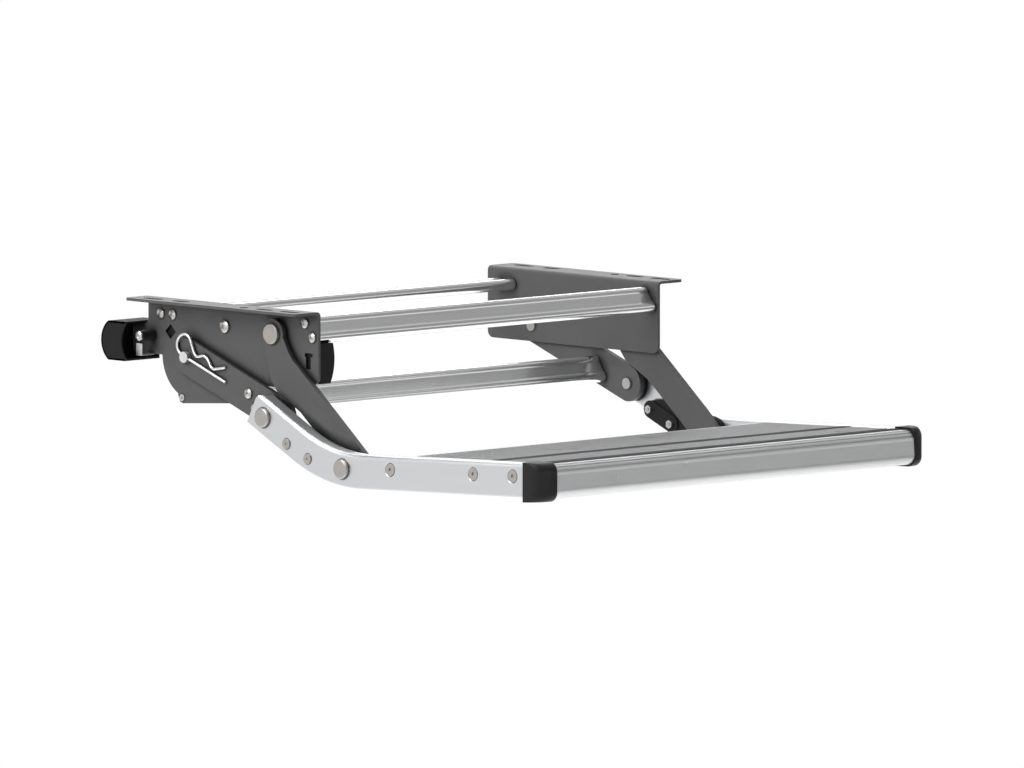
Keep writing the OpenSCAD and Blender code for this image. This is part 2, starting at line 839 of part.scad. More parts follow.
module tread_board() {
    color("#b0b0b2") on_tread([0, 0]) difference() {
        across(-rail_in, 2 * rail_in) board_outline();
        for (s = rail_screw_at) translate([-rail_in - 1, s, rail_screw_up]) rotate([0, 90, 0])
            cylinder(h = 2 * rail_in + 2, d = 5);
    }
}

module grip_strip(s) {
    color("#2e3033") on_tread([0, 0]) across(-rail_in + gap, 2 * rail_in - 2 * gap) {
        translate([s - strip_w / 2 + gap, board_top - 2]) square([strip_w - 2 * gap, 1.6 + strip_proud]);
        for (i = [-2:2]) translate([s + i * strip_w / 6, board_top - 0.4 + strip_proud]) circle(0.8);
    }
}

module rear_grip_strip() {
    grip_strip(rear_strip_at);
}

module front_grip_strip() {
    grip_strip(front_strip_at);
}

// Side outline of an end cap: square to the rail, well rounded at the nose
module cap_outline(grow) {
    h = rail_h + 2 * grow;
    r = 13;
    len = nose_out + 2 + grow;
    translate([-len, -h / 2]) {
        translate([r, 0]) square([len - r, h]);
        translate([0, r]) square([len, h - 2 * r]);
        for (z = [r, h - r]) translate([r, z]) circle(r);
    }
}

module end_cap() {
    on_tread([0, 0]) difference() {
        union() {
            across(rail_in, rail_w + 1) cap_outline(1.5);
            translate([rail_in + rail_wall + gap, -join, -rail_h / 2 + rail_wall + gap])
                cube([rail_w - 2 * rail_wall - 2 * gap, 10, rail_h - 2 * rail_wall - 2 * gap]);
        }
        translate([rail_out + 1 - 9, -nose_out - 3.5 + 9, 0]) difference() {
            translate([0, -10, -rail_h]) cube([10, 10, 2 * rail_h]);
            translate([0, 0, -rail_h - 1]) cylinder(h = 2 * rail_h + 2, r = 9);
        }
    }
}

module left_end_cap() {
    color("#1f1f20") left_side() end_cap();
}

module right_end_cap() {
    color("#1f1f20") end_cap();
}

// Stop block inside a rail: two screw bosses and a raised pad that the front link comes to rest on
module stop_block() {
    p = block_screws[0];
    q = block_screws[1];
    difference() {
        union() {
            across(block_in + 3, rail_in - block_in - 3) capsule(p, q, block_r);
            across(link_in + 0.5, rail_in - link_in - 0.5) difference() {
                polygon([p + [4, 8], p + [-2, 9], p + [-24.5, 13], q + [-30, -6], q + [-4, -block_r], q, p]);
                translate([0, 0]) stop_face();
            }
        }
        for (s = [p, q]) bar(s, block_in, rail_in - block_in + 1, block_screw_d + 0.2);
    }
}

// The front link's own outline with a small gap, cut out of the block's pad
module stop_face() {
    for (d = [[0, -gap], [gap, 0], [0, 0], [gap, -gap]]) translate(d) front_link_outline();
}

module left_stop_block() {
    color("#222223") left_side() stop_block();
}

module right_stop_block() {
    color("#222223") stop_block();
}

module stop_block_screws() {
    color("#aca8a5") both_sides() for (p = block_screws) {
        bar(p, block_in - 1.5, rail_out - block_in + 1.5, block_screw_d - 0.1);
        translate([rail_out, p[0], p[1]]) rotate([0, 90, 0]) difference() {
            cylinder(h = 1.2, d = 11);
            translate([0, 0, 0.3]) cylinder(h = 2, d = 3.4, $fn = 6);
        }
    }
}

module stop_block_nuts() {
    color("#c9c5c0") both_sides() for (p = block_screws) difference() {
        translate([block_in - 0.8, p[0], p[1]]) rotate([0, 90, 0]) cylinder(h = 3.8, d = 9.2, $fn = 6);
        bar(p, block_in - 2, 8, block_screw_d);
    }
}

// Countersunk screws through the rails into the board
module rail_screws() {
    head_d = rail_sink_d - 2;
    color("#b3afab") both_sides() for (s = rail_screw_at) on_tread([s, rail_screw_up])
        difference() {
            union() {
                translate([rail_in - 16, 0, 0]) rotate([0, 90, 0]) cylinder(h = 16 + rail_w - 1, d = 4.9);
                translate([rail_out - rail_wall, 0, 0]) rotate([0, 90, 0])
                    cylinder(h = rail_wall - 0.2, d1 = 7, d2 = head_d);
            }
            translate([rail_out - 1.6, 0, 0]) rotate([0, 90, 0]) cylinder(h = 3, d = 4.4, $fn = 6);
        }
}

left_side_plate();
right_side_plate();
front_tube();
rear_tube();
frame_tube_screws();
drive_housing();
drive_hood();
drive_motor();
hand_drive_shaft();
housing_screw();
hood_spacer();
hood_bolt();
cable_terminal();
ear_rivet();
front_pivot_rivets();
rear_pivot_rivet();
slide_washers();
left_front_link();
right_front_link();
front_link_bushes();
left_rear_link();
right_rear_link();
lower_tube();
lower_tube_screws();
clevis_pin();
spring_clip();
rail_spacers();
link_rivets();
left_rail();
right_rail();
tread_board();
rear_grip_strip();
front_grip_strip();
left_end_cap();
right_end_cap();
left_stop_block();
right_stop_block();
stop_block_screws();
stop_block_nuts();
rail_screws();
tread_rivets();
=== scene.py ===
# %% [markdown]
# # A pull out step for a caravan door
#
# Two bent steel plates hang under the vehicle floor. A folding linkage carries an aluminium tread
# out from under the door sill. The construction is already exact: every plate, link, tube and screw
# arrives as a finished solid, in metres, with the flange tops at z = 0 and the front at -Y.
# This lesson gives those solids their finishes, adds the few pieces that want smoother curves,
# and lights them for a clean product picture on white.

# %% Load the step
import json
import math

import bpy
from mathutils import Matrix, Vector


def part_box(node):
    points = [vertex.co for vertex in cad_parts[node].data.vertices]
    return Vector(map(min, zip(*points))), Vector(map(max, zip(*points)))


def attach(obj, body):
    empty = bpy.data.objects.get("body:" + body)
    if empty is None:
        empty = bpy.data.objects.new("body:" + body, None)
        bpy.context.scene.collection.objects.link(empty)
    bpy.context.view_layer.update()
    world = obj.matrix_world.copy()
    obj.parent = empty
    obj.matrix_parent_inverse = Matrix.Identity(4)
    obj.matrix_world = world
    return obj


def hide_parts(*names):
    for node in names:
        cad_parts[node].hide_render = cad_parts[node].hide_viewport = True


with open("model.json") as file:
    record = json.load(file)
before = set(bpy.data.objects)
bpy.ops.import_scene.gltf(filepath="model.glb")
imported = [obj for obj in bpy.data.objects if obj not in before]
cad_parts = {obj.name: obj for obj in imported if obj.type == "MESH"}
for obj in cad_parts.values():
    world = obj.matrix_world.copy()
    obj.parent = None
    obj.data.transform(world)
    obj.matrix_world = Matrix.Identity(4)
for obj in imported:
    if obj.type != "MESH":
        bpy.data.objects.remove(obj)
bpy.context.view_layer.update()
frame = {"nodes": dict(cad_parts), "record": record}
nodes = frame["nodes"]

# %% [markdown]
# ## The camera
#
# Product pictures of long, flat things are taken from far away with a long lens, so that parallel
# edges stay nearly parallel. We stand about 27 metres off, a little above the step, and turn
# about 44 degrees to the left. The focal length was worked out from the picture of the real step.

# %% Place the camera
VIEW_TURN = -43.93
VIEW_DOWN = 5.59
SENSOR_MM = 36.0
LENS_MM = 897.0
CAMERA_PLACE = (-18.801, -19.677, 2.561)
CLIP_END = 120

camera_data = bpy.data.cameras.new("camera")
camera_data.sensor_width = SENSOR_MM
camera_data.lens = LENS_MM
camera_data.clip_end = CLIP_END
camera = bpy.data.objects.new("camera", camera_data)
camera.location = CAMERA_PLACE
camera.rotation_euler = (math.radians(90 - VIEW_DOWN), 0, math.radians(VIEW_TURN))
bpy.context.scene.collection.objects.link(camera)
bpy.context.scene.camera = camera
bpy.context.scene.view_settings.view_transform = "Standard"
print("camera to step:", round(camera.location.length, 2), "m")

# %% [markdown]
# ## Small helpers for materials
#
# A procedural finish is a handful of nodes: a texture that varies, and sockets that listen to it.
# These helpers keep each recipe short. All textures read object coordinates, which are the step's
# own metres, so a grain has the same size on a large plate and on a small cap.

# %% Helpers for node trees
NOISE_SPAN = (0.3, 0.7)
UPWARD = 0.9


def add(tree, kind, **values):
    """Adds a node and sets its properties or sockets by name."""
    node = tree.nodes.new(kind)
    for name, value in values.items():
        if name in node.inputs:
            node.inputs[name].default_value = value
        else:
            setattr(node, name, value)
    return node


def new_material(name, color, metallic, roughness):
    """A material with one surface shader; returns it with its tree and shader."""
    material = bpy.data.materials.new(name)
    material.use_nodes = True
    tree = material.node_tree
    shader = tree.nodes["Principled BSDF"]
    shader.inputs["Base Color"].default_value = (*color, 1)
    shader.inputs["Metallic"].default_value = metallic
    shader.inputs["Roughness"].default_value = roughness
    material.diffuse_color = (*color, 1)
    return material, tree, shader


def place_texture(tree, scale):
    """Object coordinates, stretched by scale along X, Y and Z."""
    where = add(tree, "ShaderNodeTexCoord")
    stretch = add(tree, "ShaderNodeMapping")
    stretch.inputs["Scale"].default_value = scale
    tree.links.new(where.outputs["Object"], stretch.inputs["Vector"])
    return stretch.outputs["Vector"]


def noise(tree, vector, scale, detail=2.0):
    """A cloudy 0 to 1 value with about scale lumps to the metre."""
    node = add(tree, "ShaderNodeTexNoise", Scale=scale, Detail=detail)
    tree.links.new(vector, node.inputs["Vector"])
    return node.outputs["Fac"]


def remap(tree, value, low, high):
    """Stretches the span that a noise really uses to the range low to high."""
    node = add(tree, "ShaderNodeMapRange")
    node.inputs["From Min"].default_value = NOISE_SPAN[0]
    node.inputs["From Max"].default_value = NOISE_SPAN[1]
    node.inputs["To Min"].default_value = low
    node.inputs["To Max"].default_value = high
    tree.links.new(value, node.inputs["Value"])
    return node.outputs["Result"]


def blend(tree, value, dark, light, span=NOISE_SPAN):
    """A colour that slides from dark to light as the value crosses the span."""
    ramp = add(tree, "ShaderNodeValToRGB")
    for stop, place, shade in zip(ramp.color_ramp.elements, span, (dark, light)):
        stop.position = place
        stop.color = (*shade, 1)
    tree.links.new(value, ramp.inputs["Fac"])
    return ramp.outputs["Color"]


def tint(tree, shader, value, dark, light):
    """Lets a value slide the base colour between two shades."""
    tree.links.new(blend(tree, value, dark, light), shader.inputs["Base Color"])


def mix_colors(tree, factor, first, second, blend_type="MIX"):
    """Mixes two colours by a factor that is itself a socket."""
    node = add(tree, "ShaderNodeMixRGB", blend_type=blend_type)
    for name, socket in (("Fac", factor), ("Color1", first), ("Color2", second)):
        tree.links.new(socket, node.inputs[name])
    return node.outputs["Color"]


def bump(tree, shader, height, distance, strength=1.0, edge=0.0):
    """Small relief on the surface; edge also softens sharp corners by that radius."""
    node = add(tree, "ShaderNodeBump", Strength=strength, Distance=distance)
    tree.links.new(height, node.inputs["Height"])
    if edge:
        soft = add(tree, "ShaderNodeBevel", samples=4, Radius=edge)
        tree.links.new(soft.outputs["Normal"], node.inputs["Normal"])
    tree.links.new(node.outputs["Normal"], shader.inputs["Normal"])


def facing_up(tree):
    """1 on faces that look upwards, 0 elsewhere."""
    facing = add(tree, "ShaderNodeNewGeometry")
    split = add(tree, "ShaderNodeSeparateXYZ")
    tree.links.new(facing.outputs["True Normal"], split.inputs["Vector"])
    only_top = add(tree, "ShaderNodeMath", operation="GREATER_THAN")
    only_top.inputs[1].default_value = UPWARD
    tree.links.new(split.outputs["Z"], only_top.inputs[0])
    return only_top.outputs["Value"]


def painted_gap_shade(tree, distance, power):
    """Painted shade: near 1 in the open and lower in gaps narrower than the distance."""
    hollow = add(tree, "ShaderNodeAmbientOcclusion", samples=8, Distance=distance)
    depth = add(tree, "ShaderNodeMath", operation="POWER")
    depth.inputs[1].default_value = power
    tree.links.new(hollow.outputs["AO"], depth.inputs[0])
    return depth.outputs["Value"]


print("helpers ready")

# %% [markdown]
# ## Powder coated steel
#
# The plates and links are laser cut, bent and powder coated dark grey. Baked powder has an orange
# peel: soft dimples a millimetre or two across. Powder is satin rather than shiny, and it rounds
# each cut edge, which then catches a thin line of light. A noise makes the dimples, a second and
# larger one varies the gloss, and a bevel normal rounds the edges without touching the mesh. An
# ambient occlusion node paints shade into the colour in narrow gaps, as between plate and link, and
# faces that look upwards, the flange tops, get painted light: their colour is made paler.

# %% Powder coat
# Painted shade in gaps and painted light on faces that look upwards
GAP_WIDTH = 0.014
GAP_SHADE = 0.12
OPEN_GAIN = 1.06
TOP_LIGHT_GAIN = 1.9


def powder_coat(name, shade, rough):
    """Grey satin coat with dimples, painted shade in gaps and painted light on top."""
    material, tree, shader = new_material(name, (shade,) * 3, 0.0, rough)
    vector = place_texture(tree, (1, 1, 1))
    peel = noise(tree, vector, 700, 1)
    patches = noise(tree, vector, 14, 3)
    tree.links.new(remap(tree, patches, rough - 0.05, rough + 0.06), shader.inputs["Roughness"])
    openness = add(tree, "ShaderNodeMix", data_type="FLOAT", Factor=0.12)
    # painted shade: ambient occlusion darkens the coat in narrow gaps, as between plate and link
    tree.links.new(painted_gap_shade(tree, GAP_WIDTH, 2.4), openness.inputs["A"])
    tree.links.new(patches, openness.inputs["B"])
    dark = (shade * GAP_SHADE,) * 3
    standing, flat = (
        blend(tree, openness.outputs["Result"], dark, (shade * gain,) * 3)
        for gain in (OPEN_GAIN, TOP_LIGHT_GAIN)
    )
    # painted light: faces that look upwards take the paler copy of the coat
    coat = mix_colors(tree, facing_up(tree), standing, flat)
    tree.links.new(coat, shader.inputs["Base Color"])
    bump(tree, shader, peel, 0.00003, 0.5, edge=0.0007)
    return material


STEEL_GREY = 0.061
plate_paint = powder_coat("plate_powder_coat", STEEL_GREY, 0.48)
print("powder coat grey:", STEEL_GREY)

# %% [markdown]
# ## Drawn tubes
#
# The three cross tubes are drawn aluminium, bright as it leaves the die. Drawing leaves fine lines
# along the tube, so the noise is stretched a hundred times along X. It varies the roughness and a
# very slight relief, so that reflections streak lengthwise as they do on the real tubes. Where
# metal meets metal in a gap of a millimetre or two, the occlusion node paints shade into the
# colour.

# %% Bright drawn aluminium
SEAM_WIDTH = 0.003


def drawn_metal(name, shade, rough, along, streak=0.03, relief=0.06):
    """Bright metal with fine lines; along is the small scale in the drawing direction."""
    material, tree, shader = new_material(name, shade, 1.0, rough)
    vector = place_texture(tree, along)
    lines = noise(tree, vector, 900, 3)
    tree.links.new(remap(tree, lines, rough - streak, rough + streak), shader.inputs["Roughness"])
    seam_shade = tuple(c * GAP_SHADE for c in shade)
    # painted shade: occlusion darkens the colour where metal meets metal
    tint(tree, shader, painted_gap_shade(tree, SEAM_WIDTH, 3.0), seam_shade, shade)
    bump(tree, shader, lines, 0.00001, relief, edge=0.0005)
    return material


tube_metal = drawn_metal("bright_drawn_tube", (0.87, 0.875, 0.88), 0.2, (0.01, 1, 1))
print("tube metal:", tube_metal.name)

# %% [markdown]
# ## Anodised rails and tread
#
# The rails are extruded and satin anodised: the etch before the dye gives an even, milky gloss
# with only faint lines along the profile. The tread board is the same alloy, and its rougher top
# carries a fine cross grooving between the long ribs, so that shoes hold on it. The long ribs are
# real geometry, and so are the three ridges over the nose, whose valleys the occlusion node
# darkens with painted shade. The cross grooves are only a few millimetres apart, so a wave texture
# draws them, as a bump and as painted shade in the colour.

# %% Anodised aluminium
# The rails take the same painted shade in their narrow gaps
rail_metal = drawn_metal("anodised_rail", (0.73, 0.74, 0.755), 0.34, (1, 0.012, 1), 0.04)


GROOVE_SCALE = 86.0
TREAD_SHADE = (0.62, 0.625, 0.63)
# painted shade: the dark colour of the cross grooves
GROOVE_PAINTED_SHADE = (0.11, 0.11, 0.115)
# painted shade in the nose valleys, off the top faces
VALLEY_WIDTH = 0.0035
VALLEY_SHARE = 0.9
TOP_ROUGHER = 0.13


def tread_metal():
    """Satin metal with cross grooves on its top only, coloured with painted shade, and painted
    shade in valleys off the top.
    """
    material, tree, shader = new_material("ribbed_tread", (0.60, 0.605, 0.61), 0.75, 0.3)
    vector = place_texture(tree, (1, 1, 1))
    top = facing_up(tree)
    cross = add(
        tree, "ShaderNodeTexWave",
        wave_type="BANDS", bands_direction="X", Scale=GROOVE_SCALE,
    )
    tree.links.new(vector, cross.inputs["Vector"])
    grooves = add(tree, "ShaderNodeMath", operation="MULTIPLY")
    tree.links.new(cross.outputs["Fac"], grooves.inputs[0])
    tree.links.new(top, grooves.inputs[1])
    # painted shade: the cross grooves on the top are coloured dark
    ribbed = blend(tree, grooves.outputs["Value"], TREAD_SHADE, GROOVE_PAINTED_SHADE, span=(0.0, 1.0))
    off_top = add(tree, "ShaderNodeMath", operation="SUBTRACT", use_clamp=True)
    off_top.inputs[0].default_value = VALLEY_SHARE
    tree.links.new(top, off_top.inputs[1])
    # painted shade: occlusion darkens the valleys off the top
    valleys = painted_gap_shade(tree, VALLEY_WIDTH, 3.0)
    metal = mix_colors(tree, off_top.outputs["Value"], ribbed, valleys, "MULTIPLY")
    tree.links.new(metal, shader.inputs["Base Color"])
    bump(tree, shader, grooves.outputs["Value"], 0.0007, 1.0)
    patches = noise(tree, vector, 30, 2)
    rougher_top = add(tree, "ShaderNodeMath", operation="MULTIPLY_ADD")
    tree.links.new(top, rougher_top.inputs[0])
    rougher_top.inputs[1].default_value = TOP_ROUGHER
    tree.links.new(remap(tree, patches, 0.27, 0.34), rougher_top.inputs[2])
    tree.links.new(rougher_top.outputs["Value"], shader.inputs["Roughness"])
    return material


tread_finish = tread_metal()
print("tread finish:", tread_finish.name)

# %% [markdown]
# ## Screws, rivets and wire
#
# Fasteners are zinc plated: a warm, slightly cloudy silver. The rivet heads were turned, so they
# are duller than the button heads. The spring clip and its pin are the brightest metal of all.

# %% Fastener metals
def plated_metal(name, shade, rough):
    """Zinc with a cloudy shade and gloss."""
    material, tree, shader = new_material(name, shade, 1.0, rough)
    vector = place_texture(tree, (1, 1, 1))
    cloud = noise(tree, vector, 260, 3)
    tree.links.new(remap(tree, cloud, rough - 0.05, rough + 0.08), shader.inputs["Roughness"])
    tint(tree, shader, cloud, tuple(c * 0.93 for c in shade), shade)
    bump(tree, shader, cloud, 0.00002, 0.3, edge=0.0004)
    return material


screw_metal = plated_metal("plated_screws", (0.66, 0.64, 0.62), 0.28)
rivet_metal = plated_metal("turned_rivets", (0.48, 0.46, 0.44), 0.45)
wire_metal = plated_metal("bright_wire", (0.88, 0.885, 0.89), 0.34)
motor_metal = plated_metal("motor_case", (0.03, 0.03, 0.032), 0.55)
print("fastener metals:", screw_metal.name, rivet_metal.name, wire_metal.name)

# %% [markdown]
# ## Moulded plastic and rubber
#
# Caps, covers and stop blocks are injection moulded. The mould's spark eroded face leaves a grain
# of tiny bumps, which spreads a highlight into a soft sheen. The grip strips are rubber: the same
# recipe with a finer grain and less gloss. The slide washers are a pale bearing plastic.

# %% Plastics
def moulded(name, shade, rough, grain, sheen=0.5):
    """Grained plastic or rubber; sheen is the strength of its reflection."""
    material, tree, shader = new_material(name, (shade, shade, shade * 1.04), 0.0, rough)
    shader.inputs["Specular IOR Level"].default_value = sheen
    vector = place_texture(tree, (1, 1, 1))
    pits = noise(tree, vector, grain, 2)
    tree.links.new(remap(tree, pits, rough - 0.04, rough + 0.06), shader.inputs["Roughness"])
    tint(tree, shader, pits, (shade * 0.85,) * 3, (shade * 1.15,) * 3)
    bump(tree, shader, pits, 0.00004, 0.5, edge=0.0006)
    return material


cover_plastic = moulded("moulded_cover", 0.010, 0.50, 1400, 0.16)
cap_plastic = moulded("moulded_cap", 0.011, 0.38, 1600, 0.22)
washer_plastic = moulded("washer_plastic", 0.60, 0.45, 1200)
strip_rubber = moulded("strip_rubber", 0.030, 0.62, 2400)
print("plastics ready")

# %% [markdown]
# ## Giving each piece its finish
#
# Every solid names a material slot in its record. We look the slot up and put the finish in.

# %% Dress the solids
FINISHES = {
    "painted_steel": plate_paint,
    "bright_tube": tube_metal,
    "rail_aluminium": rail_metal,
    "tread_aluminium": tread_finish,
    "screw_steel": screw_metal,
    "rivet_steel": rivet_metal,
    "bright_wire": wire_metal,
    "black_plastic": cover_plastic,
    "cap_plastic": cap_plastic,
    "strip_rubber": strip_rubber,
    "motor_metal": motor_metal,
    "washer_plastic": washer_plastic,
}
slot_of = {part["node"]: part["material_slot"] for part in frame["record"]["subparts"]}
for name, piece in nodes.items():
    finish = FINISHES[slot_of[name]]
    if piece.material_slots:
        for slot in piece.material_slots:
            slot.material = finish
    else:
        piece.data.materials.append(finish)
print("dressed:", len(nodes))

# %% [markdown]
# ## The spring clip
#
# The clip that locks the pin is bent from bright wire: a straight leg through the pin, a loop, and
# a wavy leg that hugs the pin from outside. The solid is a coarse sweep, so here the same path is
# drawn again as a round wire. A Catmull-Rom curve runs through the bend points, and the bevel of
# the curve object gives the wire its thickness.

# %% Bend the clip
BENDS_MM = (
    (66, 0), (50, 0), (34, 0), (18, 0), (6, 0), (-6, 0), (-12, 1.5), (-16.5, 6),
    (-17.5, 12), (-15, 18.5), (-9, 22.8), (-2, 21.8), (3.5, 17), (9, 11), (14.5, 7.6),
    (19.5, 9.5), (25, 12.6), (31, 12.2), (36, 9.2), (40, 6.4), (44.5, 6), (50, 9), (60.5, 15),
)
STEPS_PER_BEND = 8
PIVOT = (0.0685, -0.0607)
LINK_SLOPE = math.radians(20.3)
WIRE_RADIUS = 0.0016


def between(points, i, t):
    """A point of the smooth curve through points, at share t of the way from i to i + 1."""
    last = len(points) - 1
    a, b, c, d = (Vector(points[min(max(k, 0), last)]) for k in (i - 1, i, i + 1, i + 2))
    slope = c - a
    curve = 2 * a - 5 * b + 4 * c - d
    twist = 3 * b - a - 3 * c + d
    return 0.5 * (2 * b + slope * t + curve * t**2 + twist * t**3)


def bend_clip():
    """The wire along its bends, turned into the plane of the link."""
    low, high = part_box("spring_clip")
    across = (low[0] + high[0]) / 2
    path = [
        between(BENDS_MM, i, k / STEPS_PER_BEND)
        for i in range(len(BENDS_MM) - 1) for k in range(STEPS_PER_BEND)
    ]
    path.append(Vector(BENDS_MM[-1]))
    turned = math.pi + LINK_SLOPE
    curve = bpy.data.curves.new("wire_clip", "CURVE")
    curve.dimensions = "3D"
    curve.bevel_depth = WIRE_RADIUS
    curve.bevel_resolution = 5
    curve.use_fill_caps = True
    line = curve.splines.new("POLY")
    line.points.add(len(path) - 1)
    for point, at in zip(line.points, path):
        along, away = at[0] / 1000, -at[1] / 1000
        y = PIVOT[0] + along * math.cos(turned) - away * math.sin(turned)
        z = PIVOT[1] + along * math.sin(turned) + away * math.cos(turned)
        point.co = (across, y, z, 1)
    line.use_smooth = True
    clip = bpy.data.objects.new("wire_clip", curve)
    bpy.context.scene.collection.objects.link(clip)
    curve.materials.append(wire_metal)
    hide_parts("spring_clip")
    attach(clip, "rear_links")
    return clip


wire_clip = bend_clip()
print("clip points:", len(wire_clip.data.splines[0].points))

# %% [markdown]
# ## The covers of the drive
#
# The hood behind the left plate guards the cable end. Its side has a bowed rear edge, and the
# mouth of its outer wall is cut in a hollow arc of much the same bow. It is a strip bent round that
# outline, with a wall on either side. The housing inside the plate is a simple moulding with a
# bowed inner wall, lower at its front end, and it stops short of the plate's rear edge. Both are
# built from outlines pushed along one axis, which keeps every surface closed and every size plain.

# %% Mould the covers
def prism(corners, start, end, place):
    """Points and faces of a closed prism; place(u, v, w) turns its corners into X, Y, Z."""
    count = len(corners)
    points = [place(u, v, w) for w in (start, end) for u, v in corners]
    faces = [tuple(range(count)), tuple(reversed(range(count, 2 * count)))]
    faces += [(i, i + count, (i + 1) % count + count, (i + 1) % count) for i in range(count)]
    return points, faces


def moulding(name, prisms, node, finish):
    """One object of several prisms, in millimetres, that stands for a solid of the frame."""
    points, faces = [], []
    for some_points, some_faces in prisms:
        base = len(points)
        points += some_points
        faces += [tuple(base + i for i in face) for face in some_faces]
    mesh = bpy.data.meshes.new(name)
    mesh.from_pydata([tuple(c / 1000 for c in point) for point in points], [], faces)
    mesh.update()
    mesh.materials.append(finish)
    piece = bpy.data.objects.new(name, mesh)
    bpy.context.scene.collection.objects.link(piece)
    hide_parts(node)
    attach(piece, "frame")
    return piece


HOOD_TOP, HOOD_LOW, HOOD_MOUTH = -27.0, -69.0, 142.0
HOOD_LEFT, HOOD_RIGHT = -283.0, -232.0
WALL = 2.0
BOW, BOW_CENTRE = 25.5, 153.5
CHAMFER_DROP, CHAMFER_RUN = 1.5, 2.2
MOUTH_BOW, MOUTH_CENTRE, MOUTH_STEP = 27.5, 120.0, 0.12


def hood_line(inset):
    """Side outline from the mouth's top round the bowed rear to the mouth's bottom."""
    top, low, bow = HOOD_TOP - inset, HOOD_LOW + inset, BOW - inset
    middle = (HOOD_TOP + HOOD_LOW) / 2
    reach = math.asin((top - middle - CHAMFER_DROP) / bow)
    arc = [reach * (1 - k / 12) for k in range(25)]
    rear = [(BOW_CENTRE + bow * math.cos(a), middle + bow * math.sin(a)) for a in arc]
    start, end = rear[0][0] - CHAMFER_RUN, rear[-1][0] - CHAMFER_RUN
    return [(HOOD_MOUTH, top), (start, top), *rear, (end, low), (HOOD_MOUTH, low)]


def mouth_line():
    """The hollow arc that the outer wall's mouth is cut in, from bottom to top."""
    middle = (HOOD_TOP + HOOD_LOW) / 2
    arc = [MOUTH_STEP * k for k in range(-6, 7)]
    return [
        (MOUTH_CENTRE + MOUTH_BOW * math.cos(a), middle + MOUTH_BOW * math.sin(a)) for a in arc
    ]


def side_view(u, v, w):
    """An outline seen from the side, pushed along X."""
    return (w, u, v)


def front_view(u, v, w):
    """An outline seen from the front, pushed along Y."""
    return (u, w, v)


outer = hood_line(0.0)
inner = hood_line(WALL)
hood = moulding(
    "cable_hood",
    [
        prism(outer + list(reversed(inner)), HOOD_LEFT, HOOD_RIGHT, side_view),
        prism(outer + mouth_line(), HOOD_LEFT, HOOD_LEFT + WALL, side_view),
        prism(outer, HOOD_RIGHT - WALL, HOOD_RIGHT, side_view),
    ],
    "drive_hood", cover_plastic,
)

HOUSING_LOW, HOUSING_HIGH, NOSE_HIGH = -77.0, -27.6, -34.2
HOUSING_BACK = -250.0
HOUSING_BOW, BOW_AT = 60.0, (-288.5, -51.0)
HOUSING_FRONT, NOSE_END, HOUSING_REAR = -126.0, -90.0, 111.5


def housing_profile(top):
    """Outline across the step, bowed towards the middle, with its back against the plate."""
    heights = [HOUSING_LOW + (top - HOUSING_LOW) * k / 16 for k in range(17)]
    bowed = [
        (BOW_AT[0] + math.sqrt(HOUSING_BOW**2 - (z - BOW_AT[1]) ** 2), z) for z in heights
    ]
    return [(HOUSING_BACK, HOUSING_LOW), *bowed, (HOUSING_BACK, top)]


housing = moulding(
    "gear_housing",
    [
        prism(housing_profile(NOSE_HIGH), HOUSING_FRONT, NOSE_END, front_view),
        prism(housing_profile(HOUSING_HIGH), NOSE_END, HOUSING_REAR, front_view),
    ],
    "drive_housing", cover_plastic,
)
print("covers:", hood.name, housing.name)

# %% [markdown]
# ## The end caps
#
# Each cap closes a rail and the end of the tread's nose. Seen from above, its outer front corner
# is a wide quarter round, and from the side its front corners are rounded too. A bevel could not
# turn both ways at once so evenly, so we stack rounded outlines across the cap's width, and let
# the front of each one fall back as it nears the outer face. The rail reaches on inside the cap,
# so the cap may end a little sooner than its solid does.

# %% Mould the caps
CORNER = 0.019
CORNER_STEPS = 12
NOSE_ROUND = 0.0105
NOSE_STEPS = 8
FRONT_SETBACK = 0.003
BACK_SETBACK = 0.0095
LOWER_LIP = 0.001
TILT = math.radians(2.1)
CREASE = math.radians(35)


def cap_ring(x, front, back, low, high):
    """Closed outline at one x: square at the back, rounded at the front."""
    ring = [(x, back, low)]
    y = front + NOSE_ROUND
    for z, turn in ((low + NOSE_ROUND, 270), (high - NOSE_ROUND, 180)):
        for k in range(NOSE_STEPS + 1):
            a = math.radians(turn - 90 * k / NOSE_STEPS)
            ring.append((x, y + NOSE_ROUND * math.cos(a), z + NOSE_ROUND * math.sin(a)))
    ring.append((x, back, high))
    return ring


def skin(rings):
    """Points and faces of the closed surface through equal rings, end faces first."""
    count = len(rings[0])
    last = (len(rings) - 1) * count
    faces = [tuple(range(count)), tuple(reversed(range(last, last + count)))]
    for base in range(0, last, count):
        for i in range(count):
            j = (i + 1) % count
            faces.append((base + i, base + count + i, base + count + j, base + j))
    return [point for ring in rings for point in ring], faces


